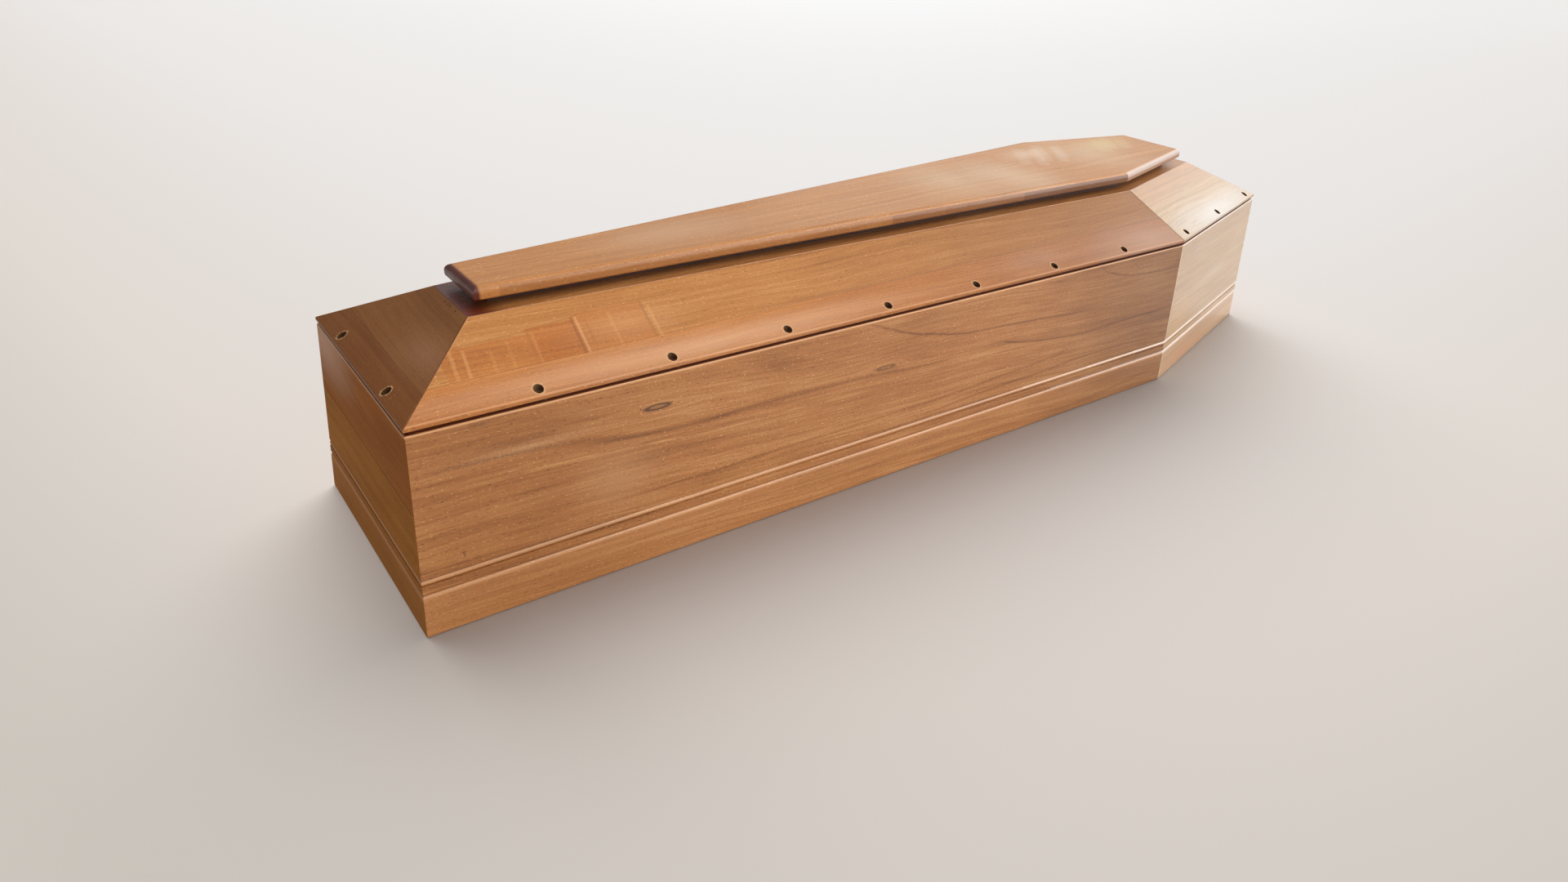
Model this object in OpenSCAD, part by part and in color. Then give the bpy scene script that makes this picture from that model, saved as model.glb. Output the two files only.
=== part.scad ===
// Shouldered wooden coffin with a hipped lid and a raised cap board.
// Head end towards +X, floor at z = 0, origin under the middle of the length.

/* [Outline] */
// Length of the rim, foot to head
rim_len = 1950; // [1600:10:2300]
// Distance from the foot rim to the shoulder corners
shoulder_at = 1496; // [1150:2:1580]
// Width of the rim at the foot
foot_w = 382; // [360:2:460]
// Width of the rim at the shoulders
shoulder_w = 580; // [500:2:720]
// Width of the rim at the head
head_w = 374; // [360:2:460]

/* [Box] */
// Height of the rim above the floor
box_h = 290; // [240:5:400]
// How far the foot of the walls stands outside the rim
batter = 26; // [0:1:40]
// Thickness of the wall boards
wall_t = 24; // [20:0.5:30]
// Thickness of the bottom board
bottom_t = 22; // [12:1:30]
// Radius of the softened long edges
arris_r = 1.6; // [0.8:0.1:2.5]
// Depth of the small V along each mitred joint
joint_ease = 1.1; // [0.5:0.1:2]

/* [Moulding] */
// Height of the plinth, up to the groove that ends it
plinth_h = 66; // [50:1:90]
// Depth of the groove above the plinth
groove_d = 4; // [2:0.5:6]
// Width of the groove above the plinth
groove_w = 3; // [2:0.5:5]
// Radius of the plinth's rounded top edge
plinth_r = 5; // [3:0.5:8]
// Height of the flat band above the groove
band_h = 11; // [8:0.5:16]
// Height of the round bead above the band
bead_h = 9; // [6:0.5:14]
// Width and depth of the fine quirks beside the bead
quirk = 2; // [1:0.5:3]

/* [Lid] */
// Horizontal run of the slopes, from the rim to the flat top
lid_run = 137; // [100:1:150]
// Rise of the slopes
lid_rise = 65; // [45:1:100]
// Thickness of the sloping panels
panel_t = 20; // [16:0.5:24]
// Height of the square edge round the lid
lid_edge = 5; // [4:0.5:8]
// Height of the shadow gap between the box rim and the lid's edge
lid_gap = 5; // [3:0.5:7]
// How far the shadow gap reaches in from the rim
gap_d = 8; // [4:0.5:8]
// Thickness of the flat top board
top_t = 18; // [12:1:21]

/* [Cap] */
// Thickness of the round-edged cap board
cap_t = 19.5; // [15:0.5:30]
// Height of the recess under the cap's edge
recess_h = 14; // [8:0.5:20]
// Depth of the recess under the cap's edge
recess_d = 26; // [10:1:28]
// Distance of the cap's edge from the edge of the flat top, at the foot
cap_foot_in = 15; // [8:1:30]
// Distance of the cap's edge from the edge of the flat top, at the sides
cap_side_in = 10; // [5:1:15]
// Distance of the cap's edge from the edge of the flat top, at the head
cap_head_in = 38; // [8:1:50]
// Radius of the round on the cap's upper edge
cap_over_r = 11; // [6:0.5:11]
// Radius of the round under the cap's edge
cap_under_r = 4; // [1:0.5:4]

/* [Screw holes] */
// Spacing of the screw holes along the lid's margin
screw_pitch = 192.5; // [150:0.5:220]
// Number of holes in each long panel
long_screws = 7; // [2:1:7]
// Number of holes in each shoulder panel
shoulder_screws = 3; // [1:1:3]
// Number of holes in each end panel
end_screws = 2; // [1:1:2]
// Diameter of the hole for the screw's head
head_hole_d = 13; // [10:0.5:14]
// Diameter of the hole for the screw's shank
shank_hole_d = 5; // [3:0.5:6]
// Wood left under the screw's head, above the shadow gap
head_seat = 5; // [3:0.5:6]

/* [Hidden] */

// The rim's corners, seen from above, anticlockwise from the left foot corner.
foot_x = -rim_len / 2;
shoulder_x = foot_x + shoulder_at;
head_x = rim_len / 2;
corners = [
    [foot_x, -foot_w / 2], [shoulder_x, -shoulder_w / 2], [head_x, -head_w / 2],
    [head_x, head_w / 2], [shoulder_x, shoulder_w / 2], [foot_x, foot_w / 2]
];
sides = len(corners);
left_long = 0;
left_shoulder = 1;
head_end = 2;
right_shoulder = 3;
right_long = 4;
foot_end = 5;

lean = atan(batter / box_h);
wall_w = wall_t / cos(lean);
wall_clear = 60;
far = 2 * rim_len;
round_fn = 48;

slope = atan(lid_rise / lid_run);
panel_h = panel_t / cos(slope);
lid_z = box_h + lid_gap + lid_edge;
flat_z = lid_z + lid_rise;
recess_z = flat_z + recess_h;
seam = joint_ease / 2;
half_right = 45;
screw_in = wall_t / 2;
head_seat_z = box_h + lid_gap + head_seat;

groove_low = plinth_h - groove_w / 2;
groove_high = plinth_h + groove_w / 2;
bead_low = groove_high + band_h;
bead_high = bead_low + bead_h;
bead_r = bead_h / 2;

// Outward direction of the edge from corner i to the next one.
function edge_dir(i) =
    let (d = corners[(i + 1) % sides] - corners[i % sides]) d / norm(d);
function outward(i) = let (d = edge_dir(i)) [d.y, -d.x];
function edge_len(i) = norm(corners[(i + 1) % sides] - corners[i % sides]);

// Corner i of the outline after it has grown by d on every side.
function grown(i, d) =
    let (a = outward((i + sides - 1) % sides), b = outward(i % sides))
    corners[i % sides] + d * (a + b) / (1 + a * b);
function grown_outline(d) = [for (i = [0:sides - 1]) grown(i, d)];

// How far from a corner of 90 + a degrees a round of radius r starts.
function set_in(r, a) = r * tan(half_right - a / 2);

// Lays a profile (x outward, y up) along edge i, running past both corners.
module run_along(i, past = wall_clear) {
    p = corners[i];
    d = edge_dir(i);
    run = edge_len(i) + 2 * past;
    translate([p.x, p.y, 0])
        rotate([0, 0, atan2(d.y, d.x)])
            translate([run - past, 0, 0])
                rotate([90, 0, -90])
                    linear_extrude(height = run)
                        children();
}

// The space between the two mitres of edge i.
module mitred(i, inner, height) {
    outer = batter + wall_clear / 2;
    linear_extrude(height = height)
        polygon([
            grown(i, outer), grown(i + 1, outer),
            grown(i + 1, -inner), grown(i, -inner)
        ]);
}

// Bar that eases the outer corner of a mitred board, where its joint k runs from a to b.
module ease_bar(i, k, a, b) {
    v = b - a;
    bar = 6 * joint_ease;
    turn = k == i ? -half_right : half_right;
    translate((a + b) / 2)
        rotate([0, atan2(norm([v.x, v.y]), v.z), atan2(v.y, v.x)])
            rotate([0, 0, turn])
                translate([joint_ease / sqrt(2) - bar / 2, 0, 0])
                    cube([bar, bar, norm(v) + 4 * bar], center = true);
}

module disc(c, r) {
    translate(c)
        circle(r = r, $fn = round_fn);
}

// What is milled out of a wall, x outward from its face, y up along it.
module moulding_cuts() {
    reach = min(groove_d, plinth_r);
    translate([-groove_d, groove_low])
        square([2 * groove_d, groove_w]);
    difference() {
        translate([-reach, groove_low - plinth_r])
            square([2 * reach, plinth_r]);
        disc([-plinth_r, groove_low - plinth_r], plinth_r);
    }
    difference() {
        translate([-quirk, bead_low])
            square([2 * quirk, bead_h + quirk]);
        disc([-bead_r, bead_low + bead_r], bead_r);
    }
}

// Section of a wall, x outward from the rim, y up from the floor.
module wall_section() {
    rim = [-set_in(arris_r, lean), box_h - arris_r];
    difference() {
        union() {
            polygon([
                [batter - wall_w, 0], [batter - arris_r, 0], [batter - arris_r * tan(lean), arris_r],
                rim + arris_r * [cos(lean), sin(lean)], rim, rim + [0, arris_r], [-wall_w, box_h]
            ]);
            disc(rim, arris_r);
        }
        translate([batter, 0])
            rotate([0, 0, lean])
                moulding_cuts();
    }
}

module wall(i) {
    difference() {
        intersection() {
            run_along(i)
                wall_section();
            mitred(i, 2 * wall_t, box_h);
        }
        for (k = [i, i + 1]) {
            a = grown(k, batter);
            b = grown(k, 0);
            ease_bar(i, k, [a.x, a.y, 0], [b.x, b.y, box_h]);
        }
    }
}

module wall_inner_side(i) {
    run_along(i)
        polygon([
            [batter - wall_w, 0], [-wall_w, box_h],
            [wall_clear, box_h], [wall_clear, 0]
        ]);
}

// Screw holes of one lid panel, evenly spaced about the middle of its edge.
module screw_holes(i, count) {
    p = corners[i];
    d = edge_dir(i);
    first = (edge_len(i) - (count - 1) * screw_pitch) / 2;
    for (k = [0:count - 1]) {
        spot = p + d * (first + k * screw_pitch) - outward(i) * screw_in;
        translate([spot.x, spot.y, head_seat_z])
            cylinder(h = panel_h + lid_rise, d = head_hole_d, $fn = round_fn);
        translate([spot.x, spot.y, box_h - lid_gap])
            cylinder(h = head_seat_z, d = shank_hole_d, $fn = round_fn);
    }
}

// Section of a panel: square lower edge, shadow gap, seat on the rim, plumb upper edge.
module panel_section() {
    seat_in = (panel_h - lid_gap - lid_edge) / tan(slope);
    edge_z = lid_z - lid_edge;
    ease = arris_r / 2;
    arris = [-arris_r, lid_z - set_in(arris_r, slope)];
    polygon([
        [-gap_d, edge_z], [-ease, edge_z], [0, edge_z + ease],
        arris + [arris_r, 0], arris, arris + arris_r * [sin(slope), cos(slope)],
        [seam - lid_run, flat_z - seam * tan(slope)], [-lid_run, flat_z - seam],
        [-lid_run, flat_z - panel_h], [-seat_in, box_h], [-gap_d, box_h]
    ]);
    disc(arris, arris_r);
}

module lid_panel(i, count) {
    difference() {
        intersection() {
            run_along(i)
                panel_section();
            mitred(i, lid_run, flat_z + wall_clear);
        }
        for (k = [i, i + 1]) {
            a = grown(k, 0);
            b = grown(k, -lid_run);
            ease_bar(i, k, [a.x, a.y, lid_z], [b.x, b.y, flat_z]);
        }
        screw_holes(i, count);
    }
}

function cap_inset(i) =
    lid_run + (i == foot_end ? cap_foot_in : i == head_end ? cap_head_in : cap_side_in);

// Outline that lies d inside the cap's edge on every side.
function cap_outline(d) = [
    for (i = [0:sides - 1])
        let (
            h = (i + sides - 1) % sides,
            n = outward(h),
            m = outward(i),
            a = -(cap_inset(h) + d),
            b = -(cap_inset(i) + d),
            det = n.x * m.y - n.y * m.x
        )
        corners[i] + [(a * m.y - b * n.y) / det, (b * n.x - a * m.x) / det]
];

// A square corner of size r about p, less the disc round c that is left standing.
module round_cut(p, c, r) {
    difference() {
        translate(p - [r, r])
            square([2 * r, 2 * r]);
        disc(c, r);
    }
}

// What is milled off the cap along edge i.
module cap_rounds(i) {
    x = -cap_inset(i);
    top = recess_z + cap_t;
    run_along(i)
        union() {
            round_cut([x, top], [x - cap_over_r, top - cap_over_r], cap_over_r);
            round_cut([x, recess_z], [x - cap_under_r, recess_z + cap_under_r], cap_under_r);
        }
}

// All of the flat top board's thickness that lies inwards of edge i.
module top_side(i) {
    run_along(i, far)
        polygon([
            [-far, flat_z - top_t], [-lid_run, flat_z - top_t],
            [-lid_run, flat_z - seam], [-lid_run - seam, flat_z], [-far, flat_z]
        ]);
}

module bottom_board() color("#9a6a3f") {
    difference() {
        linear_extrude(height = bottom_t)
            polygon(grown_outline(batter));
        for (i = [0:sides - 1]) wall_inner_side(i);
    }
}

module foot_wall() color("#7d5230") wall(foot_end);
module head_wall() color("#a9784e") wall(head_end);
module left_long_wall() color("#a97046") wall(left_long);
module right_long_wall() color("#a97046") wall(right_long);
module left_shoulder_wall() color("#b5875c") wall(left_shoulder);
module right_shoulder_wall() color("#b5875c") wall(right_shoulder);

module lid_foot_panel() color("#86583a") lid_panel(foot_end, end_screws);
module lid_head_panel() color("#b08057") lid_panel(head_end, end_screws);
module lid_left_long_panel() color("#c68b5a") lid_panel(left_long, long_screws);
module lid_right_long_panel() color("#c68b5a") lid_panel(right_long, long_screws);
module lid_left_shoulder_panel() color("#cfa67c") lid_panel(left_shoulder, shoulder_screws);
module lid_right_shoulder_panel() color("#cfa67c") lid_panel(right_shoulder, shoulder_screws);

module lid_top_board() color("#8a5f3c") {
    intersection() {
        top_side(left_long);
        top_side(left_shoulder);
        top_side(head_end);
        top_side(right_shoulder);
        top_side(right_long);
        top_side(foot_end);
    }
}

module lid_riser() color("#8a5f3c") {
    translate([0, 0, flat_z])
        linear_extrude(height = recess_h)
            polygon(cap_outline(recess_d));
}

module lid_cap() color("#c99466") {
    difference() {
        translate([0, 0, recess_z])
            linear_extrude(height = cap_t)
                polygon(cap_outline(0));
        for (i = [0:sides - 1]) cap_rounds(i);
    }
}

bottom_board();
foot_wall();
head_wall();
left_long_wall();
right_long_wall();
left_shoulder_wall();
right_shoulder_wall();
lid_foot_panel();
lid_head_panel();
lid_left_long_panel();
lid_right_long_panel();
lid_left_shoulder_panel();
lid_right_shoulder_panel();
lid_top_board();
lid_riser();
lid_cap();
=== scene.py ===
import math
from functools import partial
import bpy
from mathutils import Matrix, Vector


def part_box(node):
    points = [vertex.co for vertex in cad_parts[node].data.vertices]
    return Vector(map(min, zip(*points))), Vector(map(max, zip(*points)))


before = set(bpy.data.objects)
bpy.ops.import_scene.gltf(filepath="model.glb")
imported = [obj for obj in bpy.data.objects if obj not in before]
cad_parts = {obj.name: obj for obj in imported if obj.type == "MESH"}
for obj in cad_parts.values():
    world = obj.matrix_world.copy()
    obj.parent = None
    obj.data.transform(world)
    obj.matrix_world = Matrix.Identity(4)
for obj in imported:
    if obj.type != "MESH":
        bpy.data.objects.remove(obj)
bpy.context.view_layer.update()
print("frame loaded:", len(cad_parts), "boards")

mm = 0.001  # sizes and places on a board's face are given in millimetres


def linear(hexColour):
    # sRGB hex to the linear values that Blender's nodes take
    parts = [int(hexColour[i:i + 2], 16) / 255 for i in (1, 3, 5)]
    return tuple(c / 12.92 if c <= 0.04045 else ((c + 0.055) / 1.055) ** 2.4 for c in parts) + (1.0,)


def addNode(tree, kind, settings=None, links=None):
    # settings name a property of the node, or one of its inputs by name or number
    node = tree.nodes.new(kind)
    for name, value in (settings or {}).items():
        if isinstance(name, str) and hasattr(node, name):
            setattr(node, name, value)
        else:
            node.inputs[name].default_value = value
    for name, source in (links or {}).items():
        tree.links.new(source.outputs[0] if hasattr(source, "outputs") else source, node.inputs[name])
    return node


# the outline of the coffin's rim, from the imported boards
footLow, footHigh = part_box("lid_foot_panel")
headLow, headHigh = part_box("lid_head_panel")
longLow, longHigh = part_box("lid_left_long_panel")
wallLow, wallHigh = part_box("foot_wall")
rimHeight = wallHigh.z
rimCorners = [  # from the near foot corner, past the near shoulder and round the head
    Vector((footLow.x, footLow.y, 0)), Vector((longHigh.x, longLow.y, 0)),
    Vector((headHigh.x, headLow.y, 0)), Vector((headHigh.x, headHigh.y, 0)),
    Vector((longHigh.x, -longLow.y, 0)), Vector((footLow.x, footHigh.y, 0)),
]
batter = footLow.x - wallLow.x  # how far the walls lean out from the bottom to the rim
wallLean = math.atan2(batter, rimHeight)
lidJoint = 5 * mm  # the open joint between the rim and the lid
lidEdge = 5 * mm  # the square edge of the lid's boards, below their sloping face
lidRise, lidRun = 65 * mm, 137 * mm  # of the lid's sloping boards
lidSlope = math.atan2(lidRise, lidRun)


def boardFrame(edge, kind):
    # origin at the board's low outer corner; X runs along the board, Y up its face, Z out of it
    start, end = rimCorners[edge], rimCorners[(edge + 1) % 6]
    along = (end - start).normalized()
    outward = Vector((along.y, -along.x, 0))
    if kind == "wall":
        up = Vector((0, 0, math.cos(wallLean))) - outward * math.sin(wallLean)
        origin = start + outward * batter
    elif kind == "lid":
        up = Vector((0, 0, math.sin(lidSlope))) - outward * math.cos(lidSlope)
        origin = start + Vector((0, 0, rimHeight + lidJoint + lidEdge))
    else:
        up = -outward
        origin = start.copy()
    axes = Matrix((along, up, along.cross(up))).transposed()
    return {"origin": origin, "turn": axes.to_euler(), "length": (end - start).length}


def spotReach(add, spot, u, v):
    # distance from the middle of an oval spot, counted in its half length along and half width across
    steps = []
    for place, axis, half in ((u, "u", "long"), (v, "v", "wide")):
        scaled = {"operation": "MULTIPLY_ADD", 1: 1 / (spot[half] * mm), 2: -spot[axis] / spot[half]}
        steps.append(add("ShaderNodeMath", scaled, {0: place}))
    flat = add("ShaderNodeCombineXYZ", None, {0: steps[0], 1: steps[1]})
    return add("ShaderNodeVectorMath", {"operation": "LENGTH"}, {0: flat}).outputs["Value"], steps[1]


def gluedJoints(add, look, u, v):
    # boards glued edge to edge: below each joint the grain is another board's, in its own tone
    nextBoard = 3.7  # metres to an unlike stretch of the grain
    tone = add("ShaderNodeRGB")
    tone.outputs[0].default_value = (1, 1, 1, 1)
    shift = add("ShaderNodeValue")
    shift.outputs[0].default_value = look["seed"]
    dark = add("ShaderNodeValue")
    dark.outputs[0].default_value = 0
    for joint in look.get("joints", []):
        sloping = {"operation": "MULTIPLY_ADD", 1: joint["rise"], 2: joint["v"] * mm}
        line = add("ShaderNodeMath", sloping, {0: u})
        gap = add("ShaderNodeMath", {"operation": "SUBTRACT"}, {0: v, 1: line})
        below = add("ShaderNodeMath", {"operation": "LESS_THAN", 1: 0}, {0: gap})
        shift = add("ShaderNodeMath", {"operation": "MULTIPLY_ADD", 1: nextBoard}, {0: below, 2: shift})
        board = {"data_type": "RGBA", 7: linear(joint["tone"])}
        tone = add("ShaderNodeMix", board, {0: below, 6: tone}).outputs[2]
        away = add("ShaderNodeMath", {"operation": "ABSOLUTE"}, {0: gap})
        seam = add("ShaderNodeMapRange", {
            "From Min": joint["seam"] * mm, "From Max": 0.0, "To Max": joint["dark"],
        }, {0: away})
        dark = add("ShaderNodeMath", {"operation": "MAXIMUM"}, {0: dark, 1: seam})
    return tone, shift, dark


def knots(add, look, u, v):
    # knots push the grain aside and darken the middle
    bentV = v
    dark = add("ShaderNodeValue")
    dark.outputs[0].default_value = 0
    for knot in look.get("knots", []):
        reach, dv = spotReach(add, knot, u, v)
        push = add("ShaderNodeMapRange", {
            "interpolation_type": "SMOOTHERSTEP",
            "From Min": 5.0, "From Max": 0.4, "To Max": -0.7 * knot["wide"] * mm,
        }, {0: reach})
        bend = add("ShaderNodeMath", {"operation": "MULTIPLY"}, {0: push, 1: dv})
        bentV = add("ShaderNodeMath", {"operation": "ADD"}, {0: bentV, 1: bend})
        rim = add("ShaderNodeMapRange", {
            "interpolation_type": "SMOOTHSTEP", "From Min": 1.25, "From Max": 0.85, "To Max": knot["dark"],
        }, {0: reach})
        core = add("ShaderNodeMapRange", {
            "interpolation_type": "SMOOTHSTEP", "From Min": 0.2, "From Max": 0.9, "To Min": 0.35,
        }, {0: reach})
        core = add("ShaderNodeMath", {"operation": "MULTIPLY"}, {0: rim, 1: core})
        dark = add("ShaderNodeMath", {"operation": "MAXIMUM"}, {0: dark, 1: core})
    return bentV, dark


def wanderingGrain(add, look, local, u, w, bentV, shift):
    # the grain wanders a little as it runs along the board, one swing in half a metre or so
    seeded = add("ShaderNodeCombineXYZ", None, {0: shift, 1: shift, 2: shift})
    moved = add("ShaderNodeVectorMath", {"operation": "ADD"}, {0: local, 1: seeded})
    slow = add("ShaderNodeMapping", {"vector_type": "POINT", "Scale": (1.6, 5, 5)}, {"Vector": moved})
    wander = add("ShaderNodeTexNoise", {"Scale": 1.0, "Detail": 2.0, "Roughness": 0.45}, {"Vector": slow})
    swing = {"operation": "MULTIPLY_ADD", 1: look["wander"] * mm * 2}
    drift = add("ShaderNodeMath", swing, {0: wander, 2: bentV})
    drift = add("ShaderNodeMath", {"operation": "MULTIPLY_ADD", 1: look["tilt"]}, {0: u, 2: drift})
    grain = add("ShaderNodeCombineXYZ", None, {0: u, 1: drift, 2: w})
    return add("ShaderNodeVectorMath", {"operation": "ADD"}, {0: grain, 1: seeded}), drift


def growthRings(add, look, u, w, drift, shift, fade):
    # rings round a heart line that runs off at a small angle, so they open into long arches
    sinking = {"operation": "MULTIPLY_ADD", 1: look["heartRise"], 2: look["heartDepth"] * mm}
    depth = add("ShaderNodeMath", sinking, {0: u})
    depth = add("ShaderNodeMath", {"operation": "ADD"}, {0: depth, 1: w})
    height = add("ShaderNodeMath", {"operation": "SUBTRACT", 1: look["heartV"] * mm}, {0: drift})
    section = add("ShaderNodeCombineXYZ", None, {0: depth, 1: height})
    radius = add("ShaderNodeVectorMath", {"operation": "LENGTH"}, {0: section}).outputs["Value"]
    radius = add("ShaderNodeMath", {"operation": "ADD"}, {0: radius, 1: shift})
    bandNoise = {"noise_dimensions": "1D", "Scale": 70.0, "Detail": 3.0, "Roughness": 0.6}
    bands = add("ShaderNodeTexNoise", bandNoise, {"W": radius})  # one band per 14 mm or so
    lateNoise = {"noise_dimensions": "1D", "Scale": 240.0, "Detail": 1.0}
    late = add("ShaderNodeTexNoise", lateNoise, {"W": radius})  # late wood every 4 mm
    lateLine = {"interpolation_type": "SMOOTHSTEP", "From Min": 0.57, "From Max": 0.72}
    late = add("ShaderNodeMapRange", lateLine, {0: late})
    return bands, add("ShaderNodeMath", {"operation": "MULTIPLY"}, {0: late, 1: fade})


# noise stretched along the grain: its scale along u, v and w, counted per metre, and its detail
grainLayers = {
    "fibre": ((11, 330, 330), 4),  # fibres 3 mm wide and 90 mm long, 3 times as wide as real ones, so they show
    "pore": ((130, 620, 620), 2),  # open pores, dashes under 1.5 mm wide and up to 8 mm long
    "fleck": ((210, 420, 420), 2),  # flecks of light figure, 2.5 mm by 5 mm
    "mottle": ((4.5, 15, 15), 3),  # slow change of tone, over 70 mm by 220 mm
    "long": ((1.1, 115, 115), 5),  # lines 3 to 8 mm wide that run most of the board
}


def streakMask(add, streak, length, u, v, fade, fibre):
    # a streak follows a drawn line: its points are (u, v) in mm along the board
    tall = 0.3  # metres up the face for the whole height of the curve
    waver = 8 * mm
    share = add("ShaderNodeMath", {"operation": "DIVIDE", 1: length}, {0: u})
    curve = add("ShaderNodeFloatCurve", None, {"Value": share})
    path = curve.mapping.curves[0]
    for i, (pointU, pointV) in enumerate(streak["points"]):
        spot = (pointU * mm / length, pointV * mm / tall)
        if i < 2:
            path.points[i].location = spot
        else:
            path.points.new(*spot)
    curve.mapping.update()
    centre = add("ShaderNodeMath", {"operation": "MULTIPLY", 1: tall}, {0: curve})
    wavy = add("ShaderNodeMath", {"operation": "MULTIPLY_ADD", 1: waver, 2: -waver / 2}, {0: fade})
    off = add("ShaderNodeMath", {"operation": "SUBTRACT"}, {0: v, 1: centre})
    off = add("ShaderNodeMath", {"operation": "ADD"}, {0: off, 1: wavy})
    off = add("ShaderNodeMath", {"operation": "ABSOLUTE"}, {0: off})
    body = add("ShaderNodeMapRange", {
        "interpolation_type": "SMOOTHSTEP", "From Min": streak["wide"] * mm, "From Max": 0.0,
    }, {0: off})
    first, last = streak["points"][0][0] * mm, streak["points"][-1][0] * mm
    rise = add("ShaderNodeMapRange", {"From Min": first - 10 * mm, "From Max": first + 40 * mm}, {0: u})
    fall = add("ShaderNodeMapRange", {"From Min": last + 10 * mm, "From Max": last - 60 * mm}, {0: u})
    broken = add("ShaderNodeMapRange", {"From Min": 0.36, "From Max": 0.6, "To Min": 0.25}, {0: fibre})
    for part in (rise, fall, broken):
        body = add("ShaderNodeMath", {"operation": "MULTIPLY"}, {0: body, 1: part})
    return body


def blockMask(add, block, u, v):
    # one short length of a finger-jointed strip
    sides = []
    for low, high, place in ((block["u0"], block["u1"], u), (block["v0"], block["v1"], v)):
        span = {"operation": "COMPARE", 1: (low + high) / 2 * mm, 2: (high - low) / 2 * mm}
        sides.append(add("ShaderNodeMath", span, {0: place}))
    inside = add("ShaderNodeMath", {"operation": "MULTIPLY"}, {0: sides[0], 1: sides[1]})
    return add("ShaderNodeMath", {"operation": "MULTIPLY", 1: block["mix"]}, {0: inside})


def patchMask(add, patch, u, v, layers):
    # a soft blotch, an oval on the face with a ragged edge
    ragged = patch.get("ragged", 0.5)
    far = spotReach(add, patch, u, v)[0]
    edge = layers[patch.get("by", "mottle")]
    far = add("ShaderNodeMath", {"operation": "MULTIPLY_ADD", 1: ragged}, {0: edge, 2: far})
    return add("ShaderNodeMapRange", {
        "interpolation_type": "SMOOTHSTEP",
        "From Min": 1.0 + ragged / 2, "From Max": patch.get("core", 0.2), "To Max": patch["mix"],
    }, {0: far})


def lineMask(add, line, local, w, fibre):
    # a straight line drawn from one point of the face to another
    waver = 1.6 * mm
    skin = 6 * mm  # the line colours the board this deep, and not its inner side
    (u0, v0), (u1, v1) = line["from"], line["to"]
    half = math.hypot(u1 - u0, v1 - v0) / 2 * mm
    turn = (0, 0, math.atan2(v1 - v0, u1 - u0))
    turned = {"vector_type": "TEXTURE", "Location": (u0 * mm, v0 * mm, 0), "Rotation": turn}
    drawn = add("ShaderNodeSeparateXYZ", None, {0: add("ShaderNodeMapping", turned, {"Vector": local})})
    ragged = add("ShaderNodeMath", {"operation": "MULTIPLY_ADD", 1: waver, 2: -waver / 2}, {0: fibre})
    across = add("ShaderNodeMath", {"operation": "ADD"}, {0: drawn.outputs[1], 1: ragged})
    across = add("ShaderNodeMath", {"operation": "ABSOLUTE"}, {0: across})
    thin = add("ShaderNodeMapRange", {
        "From Min": line["half"] * mm, "From Max": line["half"] * 0.4 * mm, "To Max": line["mix"],
    }, {0: across})
    within = add("ShaderNodeMath", {"operation": "COMPARE", 1: half, 2: half}, {0: drawn.outputs[0]})
    outside = add("ShaderNodeMath", {"operation": "GREATER_THAN", 1: -skin}, {0: w})
    parts = [within, outside]
    if "below" in line:
        parts.append(add("ShaderNodeMath", {"operation": "LESS_THAN", 1: line["below"]}, {0: w}))
    for part in parts:
        thin = add("ShaderNodeMath", {"operation": "MULTIPLY"}, {0: thin, 1: part})
    return thin


def recessShadeMask(add, look, coords, w):
    # painted shade, dark in an open joint where light does not reach: between two heights, and behind the board's
    # face
    low, high = look["recess"]
    upright = add("ShaderNodeSeparateXYZ", None, {0: coords}).outputs[2]
    span = {"operation": "COMPARE", 1: (low + high) / 2, 2: (high - low) / 2}
    inGap = add("ShaderNodeMath", span, {0: upright})
    behind = add("ShaderNodeMath", {"operation": "LESS_THAN", 1: look["behind"] * mm}, {0: w})
    inGap = add("ShaderNodeMath", {"operation": "MULTIPLY"}, {0: inGap, 1: behind})
    return add("ShaderNodeMath", {"operation": "MULTIPLY", 1: 0.9}, {0: inGap})


def screwMasks(add, holes, coords, fleck):
    # raw wood in a ragged ring round each screw hole, and painted shade darkening inside it; the holes stand
    # upright
    laidOut = {"vector_type": "TEXTURE", "Location": holes["origin"], "Rotation": holes["turn"]}
    plan = add("ShaderNodeSeparateXYZ", None, {0: add("ShaderNodeMapping", laidOut, {"Vector": coords})})
    pitch, ring, bore = holes["pitch"] * mm, holes["ring"] * mm, holes["hole"] * mm
    ahead = pitch / 2 - holes["first"] * mm
    along = add("ShaderNodeMath", {"operation": "ADD", 1: ahead}, {0: plan.outputs[0]})
    along = add("ShaderNodeMath", {"operation": "FLOORED_MODULO", 1: pitch}, {0: along})
    along = add("ShaderNodeMath", {"operation": "SUBTRACT", 1: pitch / 2}, {0: along})
    inward = add("ShaderNodeMath", {"operation": "SUBTRACT", 1: holes["inset"] * mm}, {0: plan.outputs[1]})
    away = add("ShaderNodeCombineXYZ", None, {0: along, 1: inward})
    away = add("ShaderNodeVectorMath", {"operation": "LENGTH"}, {0: away}).outputs["Value"]
    ragged = add("ShaderNodeMath", {"operation": "MULTIPLY_ADD", 1: 8 * mm}, {0: fleck, 2: away})
    raw = add("ShaderNodeMapRange", {"From Min": ring, "From Max": ring - 2 * mm, "To Max": 0.75}, {0: ragged})
    # painted shade inside the hole
    dark = add("ShaderNodeMapRange", {"From Min": bore, "From Max": bore - 0.6 * mm, "To Max": 0.88}, {0: away})
    return raw, dark


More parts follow.
